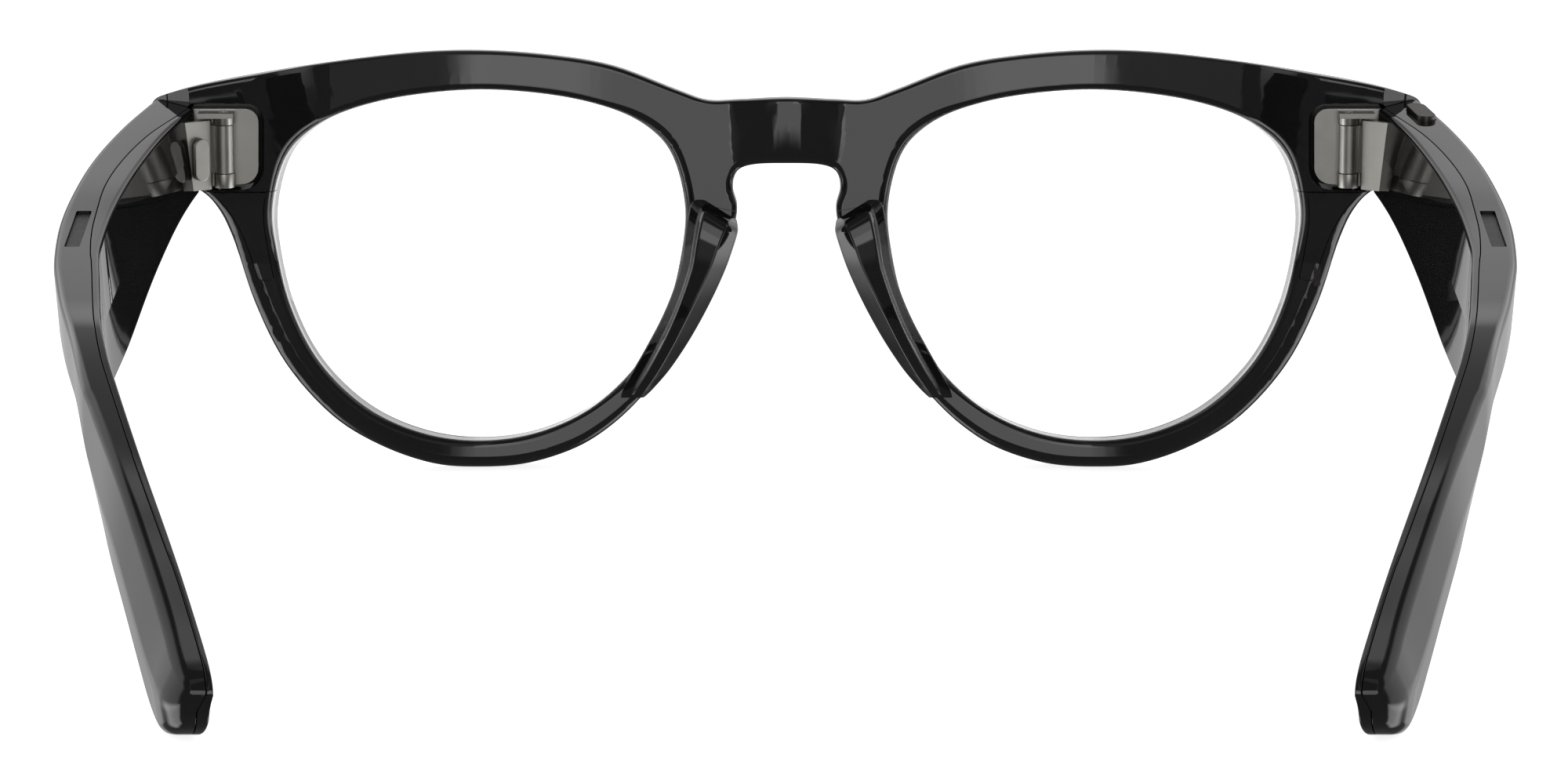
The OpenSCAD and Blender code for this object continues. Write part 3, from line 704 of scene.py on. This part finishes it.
class GLASSES_OT_front(bpy.types.Operator):
    """Models the front and its three rear covers, with their joints and hinge seats"""
    bl_idname = "glasses.front"
    bl_label = "Front"

    def execute(self, context):
        look = context.scene.glasses_look
        body = remap(drawn_front(), wrapped)
        gap = look.seam * .5
        covers = {"rear_cover_skin": (TOP_COVER, "rear_cover")}
        for name, side in SIDES.items():
            covers["side_cover_skin_" + name] = (side_cover_outline(side), "side_cover_" + name)
        made = []
        for name, (outline, node) in covers.items():
            piece = copy_of(body, name)
            carve(piece, behind(grown(outline, -gap), 1.0 - gap, "tool"), "INTERSECT")
            made.append((piece, node))
        for name, (outline, node) in covers.items():
            carve(body, behind(grown(outline, gap), 1.0 + gap, "tool"))
        body.name = "front_rim"
        made.append((body, "front_frame"))
        for piece, node in made:
            for side in (-1, 1):
                if node in ("rear_cover", "front_frame"):
                    tool = prism("tool", seat_outline(.65, side), -14, -5.28, up=1)
                    carve(piece, remap(tool, seat))
                    slice_off(piece, *mitre_plane(side, 0), edge=.12)
            polish(piece)
            fit_out(piece, "front", "gloss_black", node)
        return {"FINISHED"}


class GLASSES_OT_nose_pads(bpy.types.Operator):
    """Lofts the two nose pads, each a ridge that runs down the nose side of the rim"""
    bl_idname = "glasses.nose_pads"
    bl_label = "Nose pads"

    def execute(self, context):
        rows = spline(PAD_ROWS, 9)
        for name, side in SIDES.items():
            rings = []
            for v, nose, near, far, lens, stand in rows:
                slant = .62 * ease(24, 28.5, v)
                ring = rounded([
                    (lens - .25, plan_back(lens) + .9, 0, 0), (nose + .5, plan_back(nose) + .9, 0, 0),
                    (nose, plan_back(nose) + .3, 0, 0), (nose + .1, plan_back(nose) - .3 * stand, .8, 4),
                    (near, plan_back(near) - stand, .28, 5), (far, plan_back(far) - .88 * stand, .35, 5),
                    (far + .3 * (lens - far), plan_back(far) - .34 * stand, .9, 6),
                    (lens, plan_back(lens) - .02 * stand, .3, 3), (lens + .15, plan_back(lens) + .25, 0, 0),
                ])
                rings.append(on_front([(side * x, w, v + slant * (x - nose)) for x, w in ring]))
            pad = loft("nose_pad_skin_" + name, rings)
            polish(pad, 30)
            fit_out(pad, "front", "gloss_black", "nose_pad_" + name)
        return {"FINISHED"}


class GLASSES_OT_lenses(bpy.types.Operator):
    """Gives the two lenses their clear finish"""
    bl_idname = "glasses.lenses"
    bl_label = "Lenses"

    def execute(self, context):
        clear = paint_for("clear_lens")
        for name in SIDES:
            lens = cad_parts["lens_" + name]
            lens.data.materials.clear()
            lens.data.materials.append(clear)
        return {"FINISHED"}


# ---------------------------------------------------------------- the temples
def arm_curves():
    return {key: spline(rows, 6) for key, rows in (
        ("out", ARM_OUT), ("in", ARM_IN), ("top", ARM_TOP), ("low", ARM_LOW),
        ("lean_out", LEAN_OUT), ("lean_in", LEAN_IN), ("seam", SEAM), ("edge", EDGE_IN), ("bulge", BULGE))}


def arm_rings(side, part, seam_gap):
    """Upright sections along a temple, for its outer shell or its inner cover."""
    c = arm_curves()
    ys = np.concatenate([
        np.arange(1.0, -144.6, -1.3), [-145.0, -145.6, -146.2, -146.7, -147.1, -147.5, -147.8, -148.0]])
    rings = []
    for y in ys:
        xo, xi, zt, zb = (read_off(c[k], y) for k in ("out", "in", "top", "low"))
        lo, li, sm, edge, bulge = (read_off(c[k], y) for k in ("lean_out", "lean_in", "seam", "edge", "bulge"))
        t = np.clip((-143.6 - y) / 4.5, 0, 1)
        nip = 1 - math.sqrt(1 - t * t)
        xo, xi = xo - 2.6 * nip, xi + .25 * nip - .12 * ease(110, 140, -y)
        edge = edge * (1 - nip)
        swell = 2.4 * ease(128, 144, -y)
        h = zt - zb
        k = min(1.0, h / 7)
        zm = (zt + zb) / 2
        if part == "shell":
            ring = rounded([
                (xi + sm + seam_gap, zt, .08, 2), (xo - edge, zt, (.95 + .5 * edge) * k, 6),
                (xo + bulge - .28 * lo + .18 * k, zm, 3.0, 5),
                (xo + .6 * bulge - lo, zb, (1.5 + 1.2 * edge + swell) * k, 6),
                (xi + li + 1.2 + seam_gap, zb, .08, 2)])
        else:
            ring = rounded([
                (xi + sm - seam_gap, zt, .08, 2), (xi, zt, min(.5 * sm, .6) * k, 6), (xi + .5 * li, zm, 3.0, 4),
                (xi + li, zb, .9 * k, 6), (xi + li + 1.2 - seam_gap, zb, .08, 2)])
        rings.append(seat([(side * x, y, z) for x, z in ring]))
    return rings


def at_port(p):
    """A slot's own frame on top of a temple to design millimetres."""
    c = arm_curves()
    a, b = math.radians(7), math.radians(-1)
    x, y, z = p[:, 0], p[:, 1], p[:, 2]
    x, y = x * math.cos(b) - y * math.sin(b), x * math.sin(b) + y * math.cos(b)
    y, z = y * math.cos(a) - z * math.sin(a), y * math.sin(a) + z * math.cos(a)
    return np.stack([x + read_off(c["out"], PORT_Y) - 2.35, y + PORT_Y, z + read_off(c["top"], PORT_Y)], 1)


def at_button(p):
    """The capture button's own frame to design millimetres."""
    c = arm_curves()
    a, b = math.radians(6.8), math.radians(10.5)
    x, y, z = p[:, 0], p[:, 1], p[:, 2]
    x, y = x * math.cos(b) - y * math.sin(b), x * math.sin(b) + y * math.cos(b)
    y, z = y * math.cos(a) - z * math.sin(a), y * math.sin(a) + z * math.cos(a)
    return np.stack([x + BUTTON[0], y + BUTTON[1], z + read_off(c["top"], BUTTON[1])], 1)


def stadium(r, length, steps=10):
    pts = []
    for s, start in ((1, 0), (-1, math.pi)):
        for k in range(steps + 1):
            a = start + math.pi * k / steps
            pts.append((r * math.cos(a), s * (length / 2 - r) + r * math.sin(a)))
    return pts


class GLASSES_OT_temples(bpy.types.Operator):
    """Lofts the two temples, each an outer shell and an inner cover, with the openings in their tops"""
    bl_idname = "glasses.temples"
    bl_label = "Temples"

    def execute(self, context):
        look = context.scene.glasses_look
        for name, side in SIDES.items():
            body = name + "_temple"
            for part in ("shell", "cover"):
                piece = loft("temple_%s_skin_%s" % (part, name), arm_rings(side, part, look.seam * .5))
                if part == "shell":
                    a, b = PORT_HALF
                    port = rounded([(-a, -b, .3, 3), (a, -b, .3, 3), (a, b, .3, 3), (-a, b, .3, 3)])
                    mirror = np.array([side, 1, 1])
                    slot = remap(prism("tool", port, -1.2, 1), lambda p: seat(at_port(p) * mirror))
                    carve(piece, outside_out(slot))
                    if side > 0:
                        slot = prism("tool", stadium(1.22, 6.54), -1.5, 2, up=2)
                        carve(piece, remap(slot, lambda p: seat(at_button(p))))
                slice_off(piece, *flipped(mitre_plane(side, .15)), edge=.14)
                polish(piece, 38)
                fit_out(piece, body, "gloss_black", "temple_%s_%s" % (part, name))
        return {"FINISHED"}


def flipped(plane):
    return plane[0], -plane[1]


class GLASSES_OT_hinges(bpy.types.Operator):
    """Breaks the edges of the hinge plates, leaves, pins and screws and gives them their metal"""
    bl_idname = "glasses.hinges"
    bl_label = "Hinges"

    def execute(self, context):
        for name in SIDES:
            arm = name + "_temple"
            for node, body, width, slot in (
                ("hinge_plate_", "front", .13, "satin_metal"), ("hinge_leaf_", arm, .16, "satin_metal"),
                ("hinge_pin_", "front", .1, "screw_steel"), ("hinge_screws_", "front", .08, "screw_steel"),
                ("leaf_screws_", arm, .06, "screw_steel"),
            ):
                fit_out(machined(node + "metal_" + name, node + name, width), body, slot)
        return {"FINISHED"}


class GLASSES_OT_controls(bpy.types.Operator):
    """Finishes the capture button and the power slider"""
    bl_idname = "glasses.controls"
    bl_label = "Controls"

    def execute(self, context):
        fit_out(machined("capture_button_cap", "capture_button", .28, 4), "button", "dark_satin_metal")
        fit_out(machined("power_slider_cap", "power_switch", .22, 4), "power_slider", "satin_metal")
        return {"FINISHED"}


class GLASSES_OT_small_parts(bpy.types.Operator):
    """Gives every other CAD node the finish of its material slot"""
    bl_idname = "glasses.small_parts"
    bl_label = "Small parts"

    def execute(self, context):
        finishes = {
            "camera_window": "camera_glass", "camera_module": "module_black", "led_window": "diffuser",
            "led_board": "circuit_board", "wear_sensor": "sensor_window", "charge_contacts": "contact_gold",
            "front_flex": "flex_amber", "touch_sensor_right": "flex_amber", "button_switch_right": "screw_steel",
            "board_left": "circuit_board", "main_board_right": "circuit_board", "speaker_left": "module_black",
            "speaker_right": "module_black", "speaker_grille_left": "grille_black",
            "speaker_grille_right": "grille_black", "battery_left": "cell_foil", "battery_right": "cell_foil",
        }
        for node, slot in finishes.items():
            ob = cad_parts[node]
            ob.data.materials.clear()
            ob.data.materials.append(paint_for(slot))
        return {"FINISHED"}


# ---------------------------------------------------------------- the studio
AMBIENT = .14
# soft lights: power, then where each starts and is full, in degrees aside of the camera or of rise
LIGHTS = [
    (.24, (10, 12, "aside"), (21, 17, "aside"), (-1.5, 1, "rise")),
    (1.75, (12.3, 10.9, "aside"), (-7, -3, "rise"), (32, 28, "rise")),
    (.8, (6, 7.6, "aside"), (12.2, 11, "aside"), (0, 1, "rise"), (30, 26, "rise")),
    (2.5, (58, 72, "aside"), (126, 106, "aside"), (-68, -54, "rise"), (-4, -14, "rise")),
    (.85, (66, 84, "aside"), (162, 142, "aside"), (-24, -14, "rise"), (60, 45, "rise")),
    (.6, (120, 150, "aside"), (2, 12, "rise"), (30, 22, "rise")),
    (.26, (120, 150, "aside"), (20, 30, "rise")),
    (.75, (120, 150, "aside"), (56, 70, "rise"), (80, 74, "rise")),
    (.4, (146, 162, "aside"), (-42, -20, "rise"), (4, -2, "rise")),
]


class GLASSES_OT_stage(bpy.types.Operator):
    """Sets up the camera, the pale floor and the soft studio light"""
    bl_idname = "glasses.stage"
    bl_label = "Studio"

    def execute(self, context):
        look = context.scene.glasses_studio
        scene = context.scene
        eye = bpy.data.cameras.new("camera")
        eye.lens, eye.sensor_width, eye.shift_x = 134.316, 36, -.008
        eye.clip_start = .01
        camera = bpy.data.objects.new("camera", eye)
        camera.location = (.0012, -.62345, .12829)
        camera.rotation_euler = (math.radians(90 - 9.75), 0, 0)
        scene.collection.objects.link(camera)
        scene.camera = camera

        bpy.ops.object.select_all(action="DESELECT")
        low = CAD_BOX[0][2] - .00002
        bpy.ops.mesh.primitive_circle_add(vertices=96, radius=6, fill_type="NGON", location=(0, 0, low))
        floor = context.object
        floor.name = "floor"
        bpy.ops.object.transform_apply(location=True)

        def paper(w, p):
            grain = w.noise(p, 90, 2)
            return {
                "Base Color": w.blend(grain, (.86, .86, .86, 1), (.88, .88, .88, 1)), "Roughness": .9,
                "Specular IOR Level": 0.0, "Emission Color": (1, 1, 1, 1), "Emission Strength": look.floor_glow,
            }
        floor.data.materials.append(finish_of("floor_paper", paper))
        floor.visible_glossy = False

        world = bpy.data.worlds.new("studio")
        scene.world = world
        world.use_nodes = True
        tree = world.node_tree
        tree.nodes.clear()
        w = Wire(tree)
        way = w.node("ShaderNodeTexCoord", out=0)
        parts = w.node("ShaderNodeSeparateXYZ", None, {0: way})
        node = parts.socket.node
        x, y, z = (Wire(tree, node.outputs[i]) for i in range(3))
        turn = w.maths("ARCTAN2", x, y * -1) * (180 / math.pi)
        rise = w.maths("ARCSINE", z) * (180 / math.pi)

        ways = {"aside": w.maths("ABSOLUTE", turn), "rise": rise}
        light = AMBIENT
        for power, *bands in LIGHTS:
            patch = power
            for low, high, way in bands:
                patch = w.step(low, high, ways[way]) * patch
            light = patch + light
        path = w.node("ShaderNodeLightPath")
        seen = w.maths("MAXIMUM", path, Wire(tree, path.socket.node.outputs["Is Transmission Ray"]))
        strength = seen * 1.0 + (1 - seen) * light * look.strength
        back = w.node("ShaderNodeBackground", None, {"Color": (1, 1, 1, 1), "Strength": strength})
        w.node("ShaderNodeOutputWorld", None, {"Surface": back})
        scene.view_settings.view_transform = "Standard"
        scene.view_settings.look = "None"
        return {"FINISHED"}


# ---------------------------------------------------------------- the add-on
class GlassesLook(bpy.types.PropertyGroup):
    """Sizes and finishes of the glasses"""
    seam: bpy.props.FloatProperty(
        name="Joint width", default=.09, min=.02, max=.4,
        description="Width of the fine joints between shells and covers, in millimetres")
    plastic: bpy.props.FloatProperty(
        name="Plastic tone", description="How light the black plastic is",
        default=.006, min=0, max=.1, subtype="FACTOR")
    plastic_roughness: bpy.props.FloatProperty(
        name="Plastic roughness", description="How matt the plastic is",
        default=.02, min=0, max=1, subtype="FACTOR")
    hinge_colour: bpy.props.FloatVectorProperty(
        name="Hinge metal", description="Colour of the hinge metal",
        default=(.43, .42, .39), size=3, min=0, max=1, subtype="COLOR")
    hinge_roughness: bpy.props.FloatProperty(
        name="Hinge roughness", description="How matt the hinge metal is",
        default=.36, min=0, max=1, subtype="FACTOR")


class GlassesStudio(bpy.types.PropertyGroup):
    """Light of the studio"""
    strength: bpy.props.FloatProperty(
        name="Light", description="Strength of the soft studio light", default=1.0, min=0, max=10)
    floor_glow: bpy.props.FloatProperty(
        name="Floor glow", description="How much the floor lights up by itself", default=.85, min=0, max=3)


class GLASSES_PT_panel(bpy.types.Panel):
    """The glasses' pieces, and the sizes and colours that can be changed"""
    bl_label = "Smart glasses"
    bl_idname = "GLASSES_PT_panel"
    bl_space_type = "VIEW_3D"
    bl_region_type = "UI"
    bl_category = "Glasses"

    def draw(self, context):
        for group in (context.scene.glasses_look, context.scene.glasses_studio):
            for key in group.__annotations__:
                self.layout.prop(group, key)
        for operator in OPERATORS:
            self.layout.operator(operator.bl_idname)


OPERATORS = (
    GLASSES_OT_stage, GLASSES_OT_front, GLASSES_OT_nose_pads, GLASSES_OT_lenses, GLASSES_OT_hinges,
    GLASSES_OT_temples, GLASSES_OT_controls, GLASSES_OT_small_parts,
)
CLASSES = (GlassesLook, GlassesStudio, GLASSES_PT_panel) + OPERATORS


def register():
    for item in CLASSES:
        bpy.utils.register_class(item)
    bpy.types.Scene.glasses_look = bpy.props.PointerProperty(type=GlassesLook)
    bpy.types.Scene.glasses_studio = bpy.props.PointerProperty(type=GlassesStudio)


def unregister():
    del bpy.types.Scene.glasses_look
    del bpy.types.Scene.glasses_studio
    for item in reversed(CLASSES):
        bpy.utils.unregister_class(item)


def main():
    register()
    bpy.ops.object.select_all(action="DESELECT")
    bpy.ops.glasses.stage()
    bpy.ops.glasses.front()
    bpy.ops.glasses.nose_pads()
    bpy.ops.glasses.lenses()
    bpy.ops.glasses.hinges()
    bpy.ops.glasses.temples()
    bpy.ops.glasses.controls()
    bpy.ops.glasses.small_parts()
    bpy.context.view_layer.update()


if __name__ == "__main__":
    main()
